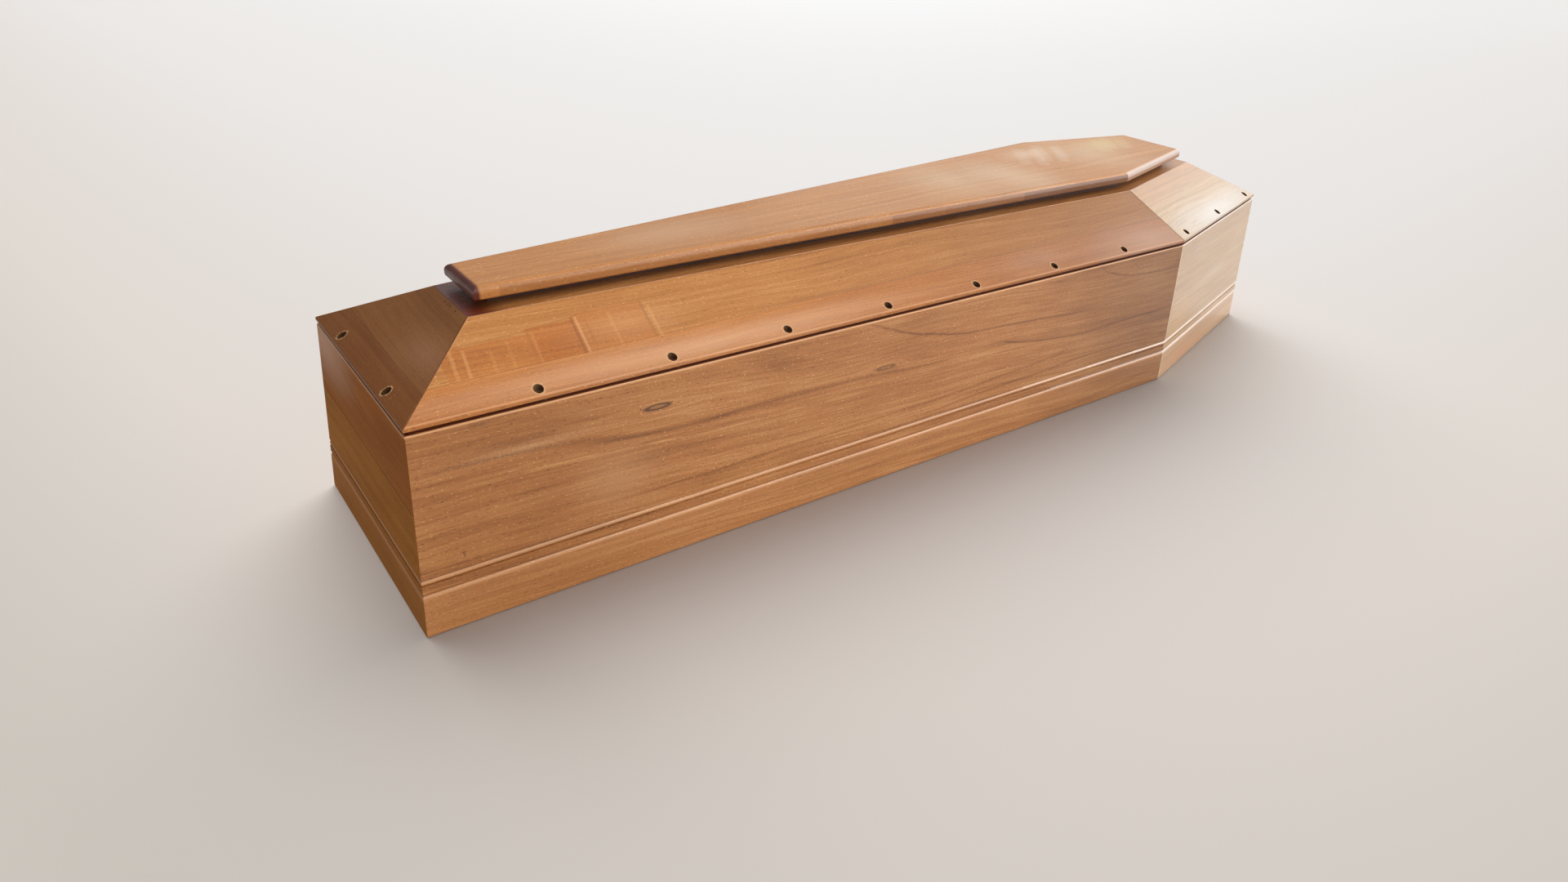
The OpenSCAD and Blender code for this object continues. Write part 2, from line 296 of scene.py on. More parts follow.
def brushedRelief(add, look, grain, pore, fibre, marks):
    # open grain and sunken joints, then the slow unevenness of a brushed lacquer
    relief = add("ShaderNodeMath", {"operation": "MULTIPLY_ADD", 1: -1.0}, {0: pore, 2: fibre})
    relief = add("ShaderNodeMath", {"operation": "MULTIPLY_ADD", 1: -3.0}, {0: marks, 2: relief})
    bump = add("ShaderNodeBump", {"Strength": look["relief"], "Distance": 0.4 * mm}, {"Height": relief})
    slow = add("ShaderNodeMapping", {"vector_type": "POINT", "Scale": (7, 24, 24)}, {"Vector": grain})
    waves = add("ShaderNodeTexNoise", {"Scale": 1.0, "Detail": 2.0}, {"Vector": slow})
    brushed = {"Strength": look["wave"], "Distance": 4 * mm}
    return add("ShaderNodeBump", brushed, {"Height": waves, "Normal": bump})


def boardWood(name, place, look):
    # lacquered hardwood laid out in one board's own directions: u along, v up the face, w out of it
    material = bpy.data.materials.new(name)
    material.use_nodes = True
    tree = material.node_tree
    tree.nodes.clear()
    add = partial(addNode, tree)
    coords = add("ShaderNodeTexCoord").outputs["Object"]
    laidOut = {"vector_type": "TEXTURE", "Location": place["origin"], "Rotation": place["turn"]}
    local = add("ShaderNodeMapping", laidOut, {"Vector": coords})
    uvw = add("ShaderNodeSeparateXYZ", None, {0: local})
    u, v, w = uvw.outputs
    tone, shift, jointDark = gluedJoints(add, look, u, v)
    bentV, knotDark = knots(add, look, u, v)
    grain, drift = wanderingGrain(add, look, local, u, w, bentV, shift)
    fading = add("ShaderNodeMapping", {"vector_type": "POINT", "Scale": (2.4, 22, 22)}, {"Vector": grain})
    fade = add("ShaderNodeTexNoise", {"Scale": 1.0, "Detail": 2.0}, {"Vector": fading})
    fade = add("ShaderNodeMapRange", {"From Min": 0.42, "From Max": 0.66}, {0: fade})
    bands, late = growthRings(add, look, u, w, drift, shift, fade)
    layers = {}
    for layer, (scale, detail) in grainLayers.items():
        stretched = add("ShaderNodeMapping", {"vector_type": "POINT", "Scale": scale}, {"Vector": grain})
        noise = {"Scale": 1.0, "Detail": float(detail), "Roughness": 0.55}
        layers[layer] = add("ShaderNodeTexNoise", noise, {"Vector": stretched})
    pores = {"interpolation_type": "SMOOTHSTEP", "From Min": 0.60, "From Max": 0.72}
    pore = add("ShaderNodeMapRange", pores, {0: layers["pore"]})
    flecks = {"interpolation_type": "SMOOTHSTEP", "From Min": 0.60, "From Max": 0.74}
    fleck = add("ShaderNodeMapRange", flecks, {0: layers["fleck"]})

    # one value from dark late wood to pale early wood, about 0.5 on the whole
    middle = 0.5 - (look["band"] + look["mottle"] + look["fibre"] + look["long"]) / 2
    value = add("ShaderNodeMath", {"operation": "MULTIPLY_ADD", 1: look["band"], 2: middle}, {0: bands})
    for share, layer in (
        (look["long"], layers["long"]), (look["mottle"], layers["mottle"]), (look["fibre"], layers["fibre"]),
        (-look["late"], late), (-look["pore"], pore), (look["fleck"], fleck),
    ):
        value = add("ShaderNodeMath", {"operation": "MULTIPLY_ADD", 1: share}, {0: layer, 2: value})
    for streak in look.get("streaks", []):
        body = streakMask(add, streak, place["length"], u, v, fade, layers["fibre"])
        value = add("ShaderNodeMath", {"operation": "MULTIPLY_ADD", 1: -streak["dark"]}, {0: body, 2: value})
    ramp = add("ShaderNodeValToRGB", None, {0: value})
    ramp.color_ramp.elements[0].color = linear(look["dark"])
    ramp.color_ramp.elements[1].color = linear(look["pale"])
    ramp.color_ramp.elements.new(0.5).color = linear(look["mid"])
    toned = {"data_type": "RGBA", "blend_type": "MULTIPLY", 0: 1.0}
    colour = add("ShaderNodeMix", toned, {6: ramp, 7: tone}).outputs[2]

    # what lies over the wood, one layer after another, its own tones and marks and also painted shade and
    # highlights: where, in what tone and how it mixes
    layersOverWood = []
    for shade in look.get("shades", []):
        # a tone ramped in towards a place on the board: mostly painted shade, and on the foot wall the upper
        # board's own darker tone; axis 0 along it, 1 up it
        part = add("ShaderNodeMapRange", {
            "interpolation_type": "SMOOTHSTEP", "From Min": shade["start"] * mm, "From Max": shade["end"] * mm,
        }, {0: uvw.outputs[shade["axis"]]})
        layersOverWood.append((part, shade["tone"], "MULTIPLY"))
    for block in look.get("blocks", []):
        layersOverWood.append((blockMask(add, block, u, v), block["tone"], "MULTIPLY"))
    for patch in look.get("patches", []):
        layersOverWood.append((patchMask(add, patch, u, v, layers), patch["tone"], "MIX"))
    if "plinth" in look:
        # the plinth below the bead took the stain a little paler
        low = add("ShaderNodeMath", {"operation": "LESS_THAN", 1: look["plinth"]["top"] * mm}, {0: v})
        low = add("ShaderNodeMath", {"operation": "MULTIPLY", 1: look["plinth"]["mix"]}, {0: low})
        layersOverWood.append((low, look["plinth"]["tone"], "MIX"))
    for line in look.get("lines", []):
        layersOverWood.append((lineMask(add, line, local, w, layers["fibre"]), line["tone"], "MIX"))
    if "recess" in look:
        # painted shade in the open joints, in a deep red brown
        layersOverWood.append((recessShadeMask(add, look, coords, w), "#6e2f18", "MIX"))
    marks = add("ShaderNodeMath", {"operation": "MAXIMUM"}, {0: knotDark, 1: jointDark})
    layersOverWood.append((marks, "#3a1d10", "MIX"))
    rough = {"To Min": look["rough"] - 0.05, "To Max": look["rough"] + 0.07}
    rough = add("ShaderNodeMapRange", rough, {0: layers["mottle"]})
    if "holes" in look:
        raw, dark = screwMasks(add, look["holes"], coords, layers["fleck"])
        layersOverWood += [(raw, look["holes"]["rawTone"], "MIX"), (dark, look["holes"]["darkTone"], "MIX")]
        rough = add("ShaderNodeMix", {"data_type": "FLOAT", 3: 0.75}, {0: raw, 2: rough}).outputs[0]
    for share, tint, blend in layersOverWood:
        coat = {"data_type": "RGBA", "blend_type": blend, 7: linear(tint)}
        colour = add("ShaderNodeMix", coat, {0: share, 6: colour}).outputs[2]

    relief = brushedRelief(add, look, grain, pore, layers["fibre"], marks)
    shader = add("ShaderNodeBsdfPrincipled", {
        "IOR": 1.5, "Specular IOR Level": look["specular"],
        "Coat Weight": look["coat"], "Coat Roughness": look["coatRough"], "Coat IOR": 1.48,
    }, {"Base Color": colour, "Roughness": rough, "Normal": relief, "Coat Normal": relief})
    add("ShaderNodeOutputMaterial", None, {"Surface": shader})
    return material


# walnut-stained hardwood under brushed satin lacquer: warm brown with darker long streaks, a soft sheen;
# seed picks the stretch of grain, tilt and wander bend it, and the heart values place the tree's heart in mm;
# band to long are how strongly each layer of the grain shows, and wave is the brushing of the lacquer
baseLook = {
    "dark": "#6c3c1a", "mid": "#a96d38", "pale": "#d09a62", "seed": 1.0, "tilt": 0.0, "wander": 30,
    "heartV": 290, "heartDepth": -60, "heartRise": 0.03,
    "band": 0.3, "mottle": 0.4, "fibre": 0.62, "late": 0.12, "pore": 0.34, "fleck": 0.5, "long": 0.6,
    "rough": 0.42, "relief": 0.35, "wave": 0.25, "specular": 0.5, "coat": 0.5, "coatRough": 0.22,
}

# the near long side: two knots, dark streaks, painted shade towards the shoulder, and painted highlights on the
# mouldings that grow whiter towards the shoulder
nearLongWall = {
    "seed": 2.0, "dark": "#744219", "mid": "#b1723b", "pale": "#d49e66", "tilt": 0.035, "wander": 22,
    "heartV": 320, "heartDepth": -230, "heartRise": 0.03,
    "band": 0.42, "mottle": 0.48, "fibre": 0.74, "fleck": 0.66, "long": 0.55, "pore": 0.52,
    "shades": [
        # painted shade: darker towards the shoulder, where less light falls; the second ramp makes it darker
        # towards the foot end
        {"axis": 0, "start": 1000, "end": 1480, "tone": "#d0d0cc"},
        {"axis": 0, "start": 480, "end": 150, "tone": "#ece6d8"},
    ],
    "knots": [
        {"u": 332, "v": 244, "long": 21, "wide": 4.5, "dark": 0.85},
        {"u": 742, "v": 206, "long": 20, "wide": 4, "dark": 0.6},
    ],
    # a dark line at the mitre of the foot corner, then painted highlights: white lines on the moulding's crest and
    # the plinth's edge towards the shoulder
    "lines": [{"from": (-27, 0), "to": (0, 291), "half": 1.6, "mix": 0.5, "tone": "#6a3c1e"}] + [
        {"from": (start, height), "to": (1530, height), "half": half, "mix": 0.3, "tone": "#fff2e6"}
        for start, height, half in (
            (1080, 85, 2.0), (1260, 85, 2.2), (1400, 85, 2.6), (1160, 64, 1.8), (1340, 64, 2.2),
        )
    ],
    "patches": [
        {"u": 90, "v": 284, "long": 34, "wide": 7, "mix": 0.6, "tone": "#6f4424", "by": "fleck", "ragged": 1.0},
        {"u": 110, "v": 246, "long": 130, "wide": 14, "mix": 0.5, "tone": "#7a4a26", "by": "fleck", "ragged": 1.6},
        {"u": 150, "v": 236, "long": 160, "wide": 12, "mix": 0.5, "tone": "#e6b888", "by": "fleck", "ragged": 2.4},
        {"u": 215, "v": 262, "long": 110, "wide": 30, "mix": 0.12, "tone": "#7a4a26"},
        {"u": 262, "v": 150, "long": 95, "wide": 80, "mix": 0.32, "tone": "#d2a274", "core": 0.0},
        {"u": 150, "v": 150, "long": 60, "wide": 80, "mix": 0.22, "tone": "#8c5426", "core": 0.0},
        {"u": 42, "v": 109, "long": 2.2, "wide": 7, "mix": 0.6, "tone": "#4a2812", "ragged": 0.3, "core": 0.3},
        {"u": 830, "v": 270, "long": 140, "wide": 26, "mix": 0.22, "tone": "#7a4a26"},
    ],
    "streaks": [
        {"points": [(0, 236), (180, 226), (300, 212), (450, 203), (700, 196), (900, 192)], "wide": 6, "dark": 0.42},
        {
            "points": [(690, 292), (750, 268), (830, 243), (940, 224), (1100, 216), (1250, 207)],
            "wide": 3.6, "dark": 0.5,
        },
        {"points": [(1255, 290), (1325, 264), (1410, 254), (1500, 251)], "wide": 3.4, "dark": 0.45},
        {"points": [(0, 202), (280, 192), (480, 180), (700, 172)], "wide": 4, "dark": -0.4},
        {"points": [(980, 204), (1120, 176), (1270, 164), (1500, 167)], "wide": 4, "dark": 0.4},
        {"points": [(250, 120), (560, 114), (900, 118), (1200, 140)], "wide": 4, "dark": 0.35},
        {"points": [(840, 96), (980, 106), (1400, 108)], "wide": 3.5, "dark": 0.35},
        {"points": [(1070, 20), (1200, 16), (1380, 20), (1500, 30)], "wide": 3, "dark": 0.3},
    ],
}
# the near shoulder: a paler board under a full coat of gloss lacquer, so it whitens at a low angle; its edges carry
# near-white painted highlights
nearShoulderWall = {
    "seed": 3.0, "dark": "#92704a", "mid": "#b9936a", "pale": "#d4b28c", "coat": 1.0, "wornTone": "#fff6ee",
    # painted highlight: a pale line down the arris at the near corner
    "lines": [{"from": (-3.6, 0), "to": (0.4, 291), "half": 3, "mix": 0.7, "tone": "#f6dcc0"}],
    "patches": [
        {"u": 90, "v": 262, "long": 60, "wide": 22, "mix": 0.5, "tone": "#a09088", "by": "fibre", "ragged": 2.0},
        {"u": 260, "v": 170, "long": 160, "wide": 20, "mix": 0.4, "tone": "#e4dccc", "by": "fibre", "ragged": 2.0},
        {"u": 60, "v": 110, "long": 120, "wide": 60, "mix": 0.35, "tone": "#d0a060"},
        {"u": 130, "v": 20, "long": 240, "wide": 40, "mix": 0.5, "tone": "#c88450"},
        {"u": 170, "v": 255, "long": 90, "wide": 30, "mix": 0.3, "tone": "#a88c80"},
    ],
}
# the foot: two boards glued edge to edge, their lacquer almost matt, so it stays brown at a low angle, with a
# painted sheen at its far upper part
footWall = {
    "seed": 7.0, "dark": "#6e4018", "mid": "#a56c38", "pale": "#bf8a54", "wornTone": "#e2b494",
    "coat": 0.0, "specular": 0.01, "rough": 0.6, "fibre": 0.35, "long": 0.3, "pore": 0.25,
    "joints": [{"v": 189, "rise": -0.012, "tone": "#fffbe6", "seam": 1.6, "dark": 0.6}],
    "shades": [{"axis": 1, "start": 184, "end": 190, "tone": "#f2e2d6"}],
    "patches": [
        # painted reflection: a pale greyish sheen over the far upper part
        {"u": 20, "v": 275, "long": 210, "wide": 85, "mix": 0.8, "tone": "#cfa890"},
        {"u": 300, "v": 235, "long": 90, "wide": 40, "mix": 0.25, "tone": "#7c4624"},
    ],
}
# each wall: the edge of the rim it stands under, counted from the near foot corner, and its own look
walls = {
    "left_long_wall": (0, nearLongWall),
    "left_shoulder_wall": (1, nearShoulderWall),
    "head_wall": (2, {"seed": 4.0}),
    "right_shoulder_wall": (3, {"seed": 5.0}),
    "right_long_wall": (4, {"seed": 6.0, "tilt": -0.02, "heartDepth": -150, "heartRise": 0.06}),
    "foot_wall": (5, footWall),
}
# painted highlights along the walls' edges: height up the wall and half width in mm, and how strongly
edgeHighlights = (
    (289.8, 1.8, 0.58),  # the rim's arris
    (84, 3.2, 0.4),  # the moulding's crest
    (61.5, 4.8, 0.28),  # the plinth's edge
)

# the near side of the lid: a strip of short finger-jointed lengths above its lowest board, painted shade towards
# the shoulder, and painted highlights on its hip and low edge
nearLongLid = {
    "seed": 12.0, "dark": "#7c4620", "mid": "#b4763a", "pale": "#d49e64", "specular": 0.25, "coat": 0.2,
    "fibre": 0.58, "long": 0.42, "pore": 0.42, "band": 0.3, "late": 0.15, "mottle": 0.35,
    "heartDepth": -400, "heartRise": 0.01,
    # painted shade: darker towards the shoulder, where less light falls
    "shades": [{"axis": 0, "start": 500, "end": 1450, "tone": "#dad6d0"}],
    "joints": [{"v": 50, "rise": 0.012, "tone": "#fff4f0", "seam": 0.8, "dark": 0.4}],
    "blocks": [
        {"u0": 72, "u1": 190, "v0": 51, "v1": 104, "mix": 0.6, "tone": "#f8dcb4"},
        {"u0": 190, "u1": 259, "v0": 52, "v1": 112, "mix": 0.7, "tone": "#f4d2a4"},
        {"u0": 259, "u1": 363, "v0": 53, "v1": 122, "mix": 0.55, "tone": "#fbe0ba"},
    ],
    "lines": [
        {"from": (at, 52), "to": (at + 3, top), "half": half, "mix": mix, "tone": tone}
        for at, top, half, mix, tone in (
            (84, 102, 3.4, 0.2, "#eab070"), (100, 98, 3.0, 0.24, "#eab070"), (108, 96, 2.4, 0.2, "#a0652f"),
            (133, 92, 3.4, 0.12, "#e6aa68"), (146, 86, 2.6, 0.2, "#a0652f"), (158, 100, 3.0, 0.1, "#e6aa68"),
            (188, 108, 2.4, 0.3, "#a0652f"), (194, 106, 2.8, 0.14, "#e6aa68"), (254, 117, 2.4, 0.6, "#8a5028"),
            (260, 117, 2.6, 0.25, "#f0bc84"), (272, 110, 2.4, 0.3, "#a0652f"), (308, 114, 3.4, 0.15, "#e6aa68"),
            (360, 122, 2.6, 0.4, "#96602f"), (368, 112, 3.4, 0.22, "#e6aa68"), (404, 104, 2.2, 0.18, "#a0652f"),
        )
    ] + [
        # painted highlight: a bright line up the hip at the foot corner
        {"from": (0, 1), "to": (129, 151), "half": 1.3, "mix": 0.35, "tone": "#e8a468"},
        {"from": (90, 104), "to": (190, 108), "half": 1.4, "mix": 0.45, "tone": "#96602f"},
        {"from": (190, 110), "to": (262, 117), "half": 1.4, "mix": 0.5, "tone": "#96602f"},
        # painted highlight: a bright line along the lid's low edge
        {"from": (0, 2.5), "to": (1500, 2.5), "half": 1.6, "mix": 0.35, "tone": "#ecb484"},
    ],
    "patches": [
        {
            "u": 1110, "v": 38, "long": 150, "wide": 34, "mix": 0.16, "tone": "#e8ccb4",
            "by": "fleck", "ragged": 3.2, "core": 1.2,
        },
        {
            "u": 1100, "v": 30, "long": 60, "wide": 20, "mix": 0.4, "tone": "#84503a",
            "by": "fleck", "ragged": 2.6, "core": 1.0,
        },
        {"u": 1420, "v": 24, "long": 260, "wide": 80, "mix": 0.5, "tone": "#c8a48c", "core": 0.0},
        {"u": 640, "v": 62, "long": 150, "wide": 5, "mix": 0.35, "tone": "#7c4a24"},
        {"u": 420, "v": 22, "long": 560, "wide": 36, "mix": 0.5, "tone": "#e0b08a", "core": 0.2},
        {"u": 330, "v": 88, "long": 130, "wide": 50, "mix": 0.3, "tone": "#e0aa78", "core": 0.0},
    ],
}
# the lid's near shoulder: clearer gloss lacquer, a painted white glare low down and painted shade above it, with
# dark cracks by a screw hole
nearShoulderLid = {
    "seed": 13.0, "dark": "#785428", "mid": "#a8824e", "pale": "#c29e70", "band": 0.34, "late": 0.12,
    "coat": 0.4, "coatRough": 0.17,
    # painted shade: darker and warmer up the face, where the glare falls off
    "shades": [{"axis": 1, "start": 66, "end": 140, "tone": "#fade9c"}],
    "patches": [
        # painted reflection: the white glare over the lower part
        {"u": 230, "v": 20, "long": 330, "wide": 72, "mix": 0.54, "tone": "#d6dee2", "core": 0.0},
        {"u": 60, "v": 34, "long": 60, "wide": 3, "mix": 0.6, "tone": "#8a7464", "by": "fleck", "ragged": 1.2},
        {"u": 105, "v": 22, "long": 34, "wide": 2.4, "mix": 0.6, "tone": "#7a6454", "by": "fleck", "ragged": 1.2},
    ],
}
# the lid's foot: darker and nearly matt, with four dark nail dots near its upper edge
footLid = {
    "seed": 17.0, "dark": "#583012", "mid": "#845226", "pale": "#9e6c3e", "coat": 0.0, "specular": 0.12,
    "fibre": 0.35, "long": 0.25, "pore": 0.25, "band": 0.25, "late": 0.1,
    "joints": [{"v": 46, "rise": -0.01, "tone": "#f2e8dc", "seam": 0.8, "dark": 0.35}],
    "patches": [
        {
            "u": at, "v": 146.5, "long": 1.7, "wide": 1.7, "mix": 0.9, "tone": "#1c0d06",
            "ragged": 0.0, "core": 0.6,
        }
        for at in (186, 196, 204, 223)
    ] + [
        {"u": 270, "v": 80, "long": 130, "wide": 60, "mix": 0.34, "tone": "#c09070", "by": "fleck", "ragged": 1.2},
    ],
    "lines": [{"from": (382, 1), "to": (253, 151), "half": 1.4, "mix": 0.6, "tone": "#4a2610"}],
}
# each board of the lid: the edge of the rim it rises from, and its own look
lids = {
    "lid_left_long_panel": (0, nearLongLid),
    "lid_left_shoulder_panel": (1, nearShoulderLid),
    "lid_head_panel": (2, {"seed": 14.0, "band": 0.3, "late": 0.15}),
    "lid_right_shoulder_panel": (3, {"seed": 15.0, "band": 0.3, "late": 0.15}),
    "lid_right_long_panel": (4, {"seed": 16.0, "band": 0.35, "late": 0.15}),
    "lid_foot_panel": (5, footLid),
}
# the screw holes along each edge of the lid, in mm: how far apart, how far in, and the radii they show; raw wood
# rings each one and painted shade darkens inside it
screws = {"pitch": 192.5, "inset": 12, "ring": 13.2, "hole": 7.3, "rawTone": "#d8ac78", "darkTone": "#4a2816"}
firstScrew = (172.1, 40.3, 90.75, 40.3, 172.1, 94.75)  # mm from the start of each edge of the rim

for name, (edge, own) in {**walls, **lids}.items():
    place = boardFrame(edge, "wall" if name in walls else "lid")
    look = {**baseLook, **own}
    if name in walls:
        look["plinth"] = {"top": 65.5, "mix": 0.15, "tone": "#d89a66"}
        # painted shade on the rim's top, in the joint below the lid
        look["recess"] = (rimHeight - 1.6 * mm, rimHeight + 20 * mm)
        look["behind"] = -2.2
        past, end = 30, place["length"] / mm
        # painted highlights along the rim's arris, the moulding's crest and the plinth's edge
        look["lines"] = look.get("lines", []) + [
            {
                "from": (-past, height), "to": (end + past, height),
                "half": half, "mix": mix, "tone": look.get("wornTone", "#e9b27e"),
            }
            for height, half, mix in edgeHighlights
        ]
    else:
        plan = boardFrame(edge, "flat")
        look["holes"] = {**screws, "origin": plan["origin"], "turn": plan["turn"], "first": firstScrew[edge]}
        # painted shade on the lid's underside, in the joint above the rim
        look["recess"] = (rimHeight, rimHeight + lidJoint + 0.5 * mm)
        look["behind"] = 100
    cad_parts[name].material_slots[0].material = boardWood(name + "_lacquered_hardwood", place, look)
print("wood on", len(walls), "walls and", len(lids), "boards of the lid")

# the boards that lie flat run the length of the coffin, with u from its foot and v from its middle line
lyingFlat = {
    "origin": Vector((footLow.x, 0, 0)), "turn": Matrix.Identity(3).to_euler(),
    "length": headHigh.x - footLow.x,
}
capLow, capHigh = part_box("lid_cap")
capPoints = [point.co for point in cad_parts["lid_cap"].data.vertices]
capShoulder = min(capPoints, key=lambda point: point.y)
longRun = (rimCorners[1] - rimCorners[0]).normalized()
shoulderRun = (rimCorners[2] - rimCorners[1]).normalized()


def capEdge(run, reach, half, mix, tone, below):
    # a line drawn along one edge of the cap from its near shoulder corner, up to a height
    u, v = (capShoulder.x - footLow.x) / mm, capShoulder.y / mm
    return {
        "from": (u, v), "to": (u + run.x * reach, v + run.y * reach),
        "half": half, "mix": mix, "tone": tone, "below": below,
    }


# the cap: smoother satin lacquer; painted glints lie across it towards the head, and its foot end has painted shade
glintAlong, glintAcross = 0.631, 0.776  # the way the glints run
cap = {
    "seed": 24.0, "dark": "#85501f", "mid": "#b97a3e", "pale": "#d8a268", "heartDepth": -500, "wave": 0.4,
    "band": 0.3, "long": 0.35, "mottle": 0.35, "late": 0.12, "fibre": 0.36,
    "coat": 0.35, "coatRough": 0.24, "specular": 0.3,
    # painted shade on the cap's underside
    "recess": (capLow.z - 1 * mm, capLow.z + 1.2 * mm), "behind": 1000,
    "lines": [
        # painted shade along the near edge, darker towards the shoulder; on the shoulder edge a painted
        # greyish-white glare, with its lower band painted back to brown
        capEdge(longRun, -1300, 9, 0.3, "#7c4820", capHigh.z - 3.5 * mm),
        capEdge(longRun, -620, 9, 0.42, "#66381c", capHigh.z - 3.5 * mm),
        capEdge(longRun, -300, 9, 0.42, "#54301e", capHigh.z - 4 * mm),
        capEdge(shoulderRun, 330, 9, 0.7, "#c4b8b0", capHigh.z + 10 * mm),
        capEdge(shoulderRun, 330, 12, 0.85, "#9c6840", capLow.z + 9 * mm),
    ] + [
        # painted glints: pale lines across the top towards the head
        {
            "from": (at, side), "to": (at + glintAlong * reach, side + glintAcross * reach),
            "half": half, "mix": mix, "tone": tone,
        }
        for at, side, reach, half, mix, tone in (
            (1345, 6, 120, 18, 0.09, "#f4eadc"), (1372, -16, 130, 16, 0.11, "#f4eadc"),
            (1402, 0, 130, 18, 0.11, "#f4eadc"), (1436, -18, 120, 15, 0.1, "#f4eadc"),
            (1464, 4, 100, 16, 0.08, "#f4eadc"), (1592, -10, 110, 20, 0.1, "#e6dc9c"),
            (1630, 0, 100, 18, 0.12, "#e6dc9c"), (1664, -16, 110, 20, 0.1, "#e6dc9c"),
        )
    ],
    # painted glare: the pale blotches from 1110 mm on, towards the head
    "patches": [
        {"u": 500, "v": 10, "long": 240, "wide": 90, "mix": 0.4, "tone": "#d8b494"},
        {"u": 1250, "v": -40, "long": 120, "wide": 160, "mix": 0.35, "tone": "#e4ccb0"},
        {"u": 1410, "v": 60, "long": 120, "wide": 60, "mix": 0.42, "tone": "#efe0cc", "by": "fibre", "ragged": 1.4},
        {"u": 1110, "v": 0, "long": 170, "wide": 190, "mix": 0.36, "tone": "#dcc8a8", "core": 0.0},
        {"u": 1540, "v": 0, "long": 150, "wide": 190, "mix": 0.34, "tone": "#e0ccaa", "core": 0.0},
        {"u": 1640, "v": 40, "long": 120, "wide": 70, "mix": 0.3, "tone": "#e4d49c"},
    ],
    # painted shade on the cap's foot end
    "shades": [{"axis": 0, "start": 163, "end": 158, "tone": "#7e3c1c"}],
}
flatBoards = {
    "bottom_board": {"seed": 21.0, "coat": 0.1, "rough": 0.6},
    # painted shade: the top board's margin darkens at the foot end, under the cap
    "lid_top_board": {"seed": 22.0, "shades": [{"axis": 0, "start": 200, "end": 150, "tone": "#9c5a34"}]},
    # painted shade: the riser under the cap is made almost black
    "lid_riser": {
        "seed": 23.0, "coat": 0.1, "rough": 0.6, "dark": "#2c160c", "mid": "#4a2816", "pale": "#6a4028",
    },
    "lid_cap": cap,
}
for name, own in flatBoards.items():
    wood = boardWood(name + "_lacquered_hardwood", lyingFlat, {**baseLook, **own})
    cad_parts[name].material_slots[0].material = wood
print("wood on", len(flatBoards), "flat boards")

# where the coffin is seen from: place in metres, turns in radians and focal length in mm
viewer = {
    "location": (-1.20464, -1.18828, 0.87962), "yaw": 0.888088, "pitch": -0.551288, "roll": 0.055439,
    "lens": 21.1, "sensor": 36,
}

# matt white floor paint, with painted shade and light: no gloss, and a tone that falls to a grey band and rises
# again away from the viewer
floorLook = {
    "near": "#f2efec", "far": "#fcfbfa", "start": -11.5, "end": 6.5,  # metres along the view
    "tones": (
        (0.2, "#eeebe7"), (0.47, "#cfc8bf"), (0.503, "#cfc8bf"), (0.536, "#e2dad2"), (0.611, "#ebe7e3"),
        (0.778, "#f2f0ee"),
    ),
    "even": "#f2efec", "evenFrom": 6.5, "evenTo": 15.0,  # metres out, where no edge may show against the dome
    "rough": 0.9, "specular": 0.15,
}
floorPaint = bpy.data.materials.new("matte_floor_with_painted_shade")
floorPaint.use_nodes = True
floorPaint.node_tree.nodes.clear()
onFloor = partial(addNode, floorPaint.node_tree)
ground = onFloor("ShaderNodeTexCoord").outputs["Object"]
parts = []
for turn in (viewer["yaw"], viewer["yaw"] + math.pi / 2):
    direction = (math.cos(turn), math.sin(turn), 0)
    measured = onFloor("ShaderNodeVectorMath", {"operation": "DOT_PRODUCT", 1: direction}, {0: ground})
    parts.append(measured.outputs["Value"])
ahead, aside = parts
# the bands of painted shade and light bow away from the viewer at both sides, rounded over the middle metre
square = onFloor("ShaderNodeMath", {"operation": "MULTIPLY_ADD", 2: 1.0}, {0: aside, 1: aside})
width = onFloor("ShaderNodeMath", {"operation": "SQRT"}, {0: square})
reach = onFloor("ShaderNodeMath", {"operation": "SUBTRACT"}, {0: ahead, 1: width})
fall = onFloor("ShaderNodeMapRange", {"From Min": floorLook["start"], "From Max": floorLook["end"]}, {0: reach})
paint = onFloor("ShaderNodeValToRGB", None, {0: fall})
for position, tint in floorLook["tones"]:
    paint.color_ramp.elements.new(position).color = linear(tint)
paint.color_ramp.elements[0].color = linear(floorLook["near"])
paint.color_ramp.elements[-1].color = linear(floorLook["far"])
farOff = onFloor("ShaderNodeVectorMath", {"operation": "LENGTH"}, {0: ground}).outputs["Value"]
farOff = onFloor("ShaderNodeMapRange", {
    "interpolation_type": "SMOOTHSTEP", "From Min": floorLook["evenFrom"], "From Max": floorLook["evenTo"],
}, {0: farOff})
settled = {"data_type": "RGBA", 7: linear(floorLook["even"])}
evened = onFloor("ShaderNodeMix", settled, {0: farOff, 6: paint}).outputs[2]
matte = onFloor("ShaderNodeBsdfPrincipled", {
    "Roughness": floorLook["rough"], "Specular IOR Level": floorLook["specular"],
}, {"Base Color": evened})
onFloor("ShaderNodeOutputMaterial", None, {"Surface": matte})
bpy.ops.mesh.primitive_plane_add(size=80)
floor = bpy.context.object
floor.name = "floor"
floor.data.materials.append(floorPaint)

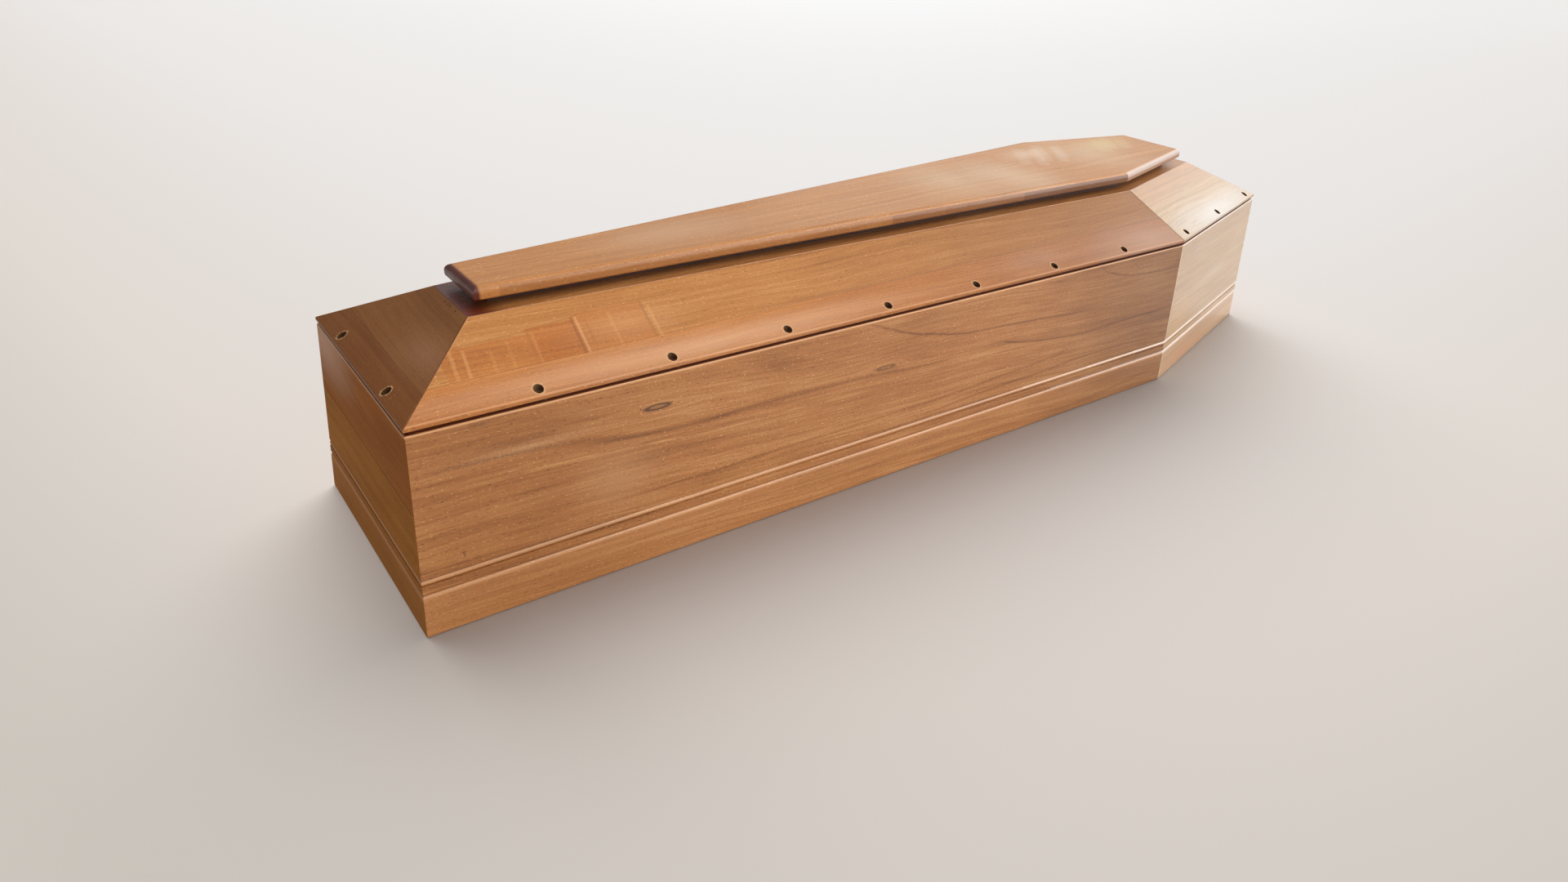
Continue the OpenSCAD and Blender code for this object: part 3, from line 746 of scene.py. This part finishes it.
# a pale dome seen behind the floor: it only glows towards the viewer, and lights nothing
backdrop = bpy.data.materials.new("pale_backdrop")
backdrop.use_nodes = True
backdrop.node_tree.nodes.clear()
glow = addNode(backdrop.node_tree, "ShaderNodeEmission", {"Color": linear("#ece8e4"), "Strength": 1.0})
addNode(backdrop.node_tree, "ShaderNodeOutputMaterial", None, {"Surface": glow})
bpy.ops.mesh.primitive_uv_sphere_add(segments=64, ring_count=32, radius=39)
dome = bpy.context.object
dome.name = "dome"
dome.data.materials.append(backdrop)
dome.visible_diffuse = dome.visible_glossy = dome.visible_shadow = dome.visible_transmission = False

# the room: an even, faintly blue fill
world = bpy.data.worlds.new("pale_room")
world.use_nodes = True
world.node_tree.nodes["Background"].inputs["Color"].default_value = linear("#eaebee")
world.node_tree.nodes["Background"].inputs["Strength"].default_value = 0.35
bpy.context.scene.world = world
print("floor, dome and room in place")

# the coffin and the floor are lit apart, as a product is in a studio with flags and cards
groups = {}
for group, members in (("coffin", list(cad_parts.values())), ("floor", [floor])):
    groups[group] = bpy.data.collections.new("lit_" + group)
    for member in members:
        groups[group].objects.link(member)


def addLight(name, kind, lights, settings, location, toward):
    # toward is the direction the light comes from
    data = bpy.data.lights.new(name, kind)
    for setting, value in settings.items():
        setattr(data, setting, value)
    lamp = bpy.data.objects.new(name, data)
    lamp.location = location
    lamp.rotation_euler = Vector(toward).to_track_quat("Z", "Y").to_euler()
    bpy.context.collection.objects.link(lamp)
    lamp.light_linking.receiver_collection = groups[lights]


broadKey = {"energy": 3.2, "angle": math.radians(65)}
softTop = {"energy": 0.9, "angle": math.radians(90)}
headCard = {"energy": 27, "size": 1.9}
warmCard = {"energy": 14, "color": (1, 0.9, 0.76), "shape": "RECTANGLE", "size": 3.2, "size_y": 1.4}
floorLight = {"energy": 2.98, "angle": math.radians(75)}
addLight("key_from_head_and_near_side", "SUN", "coffin", broadKey, (2, -2, 2), (0.6, -0.5, 0.45))
addLight("soft_top", "SUN", "coffin", softTop, (0, 1, 3), (0.2, 0.3, 0.9))
addLight("card_beyond_the_head", "AREA", "coffin", headCard, (5.3, 0.45, 2.2), (4.6, 0.65, 1.87))
addLight("card_behind", "AREA", "coffin", warmCard, (3.7, 2.9, 1.6), (3.7, 2.9, 1.2))
addLight("floor_light_from_behind", "SUN", "floor", floorLight, (2, 2, 3), (0.38, 0.8, 0.95))

camera = bpy.data.objects.new("camera", bpy.data.cameras.new("camera"))
camera.location = viewer["location"]
heading = Matrix.Rotation(viewer["yaw"] - math.pi / 2, 3, "Z")
nod = Matrix.Rotation(viewer["pitch"] + math.pi / 2, 3, "X")
camera.rotation_euler = (heading @ nod @ Matrix.Rotation(viewer["roll"], 3, "Z")).to_euler()
camera.data.lens = viewer["lens"]
camera.data.sensor_width = viewer["sensor"]
bpy.context.collection.objects.link(camera)
bpy.context.scene.camera = camera
bpy.context.scene.view_settings.view_transform = "Standard"
print("lights and camera set")
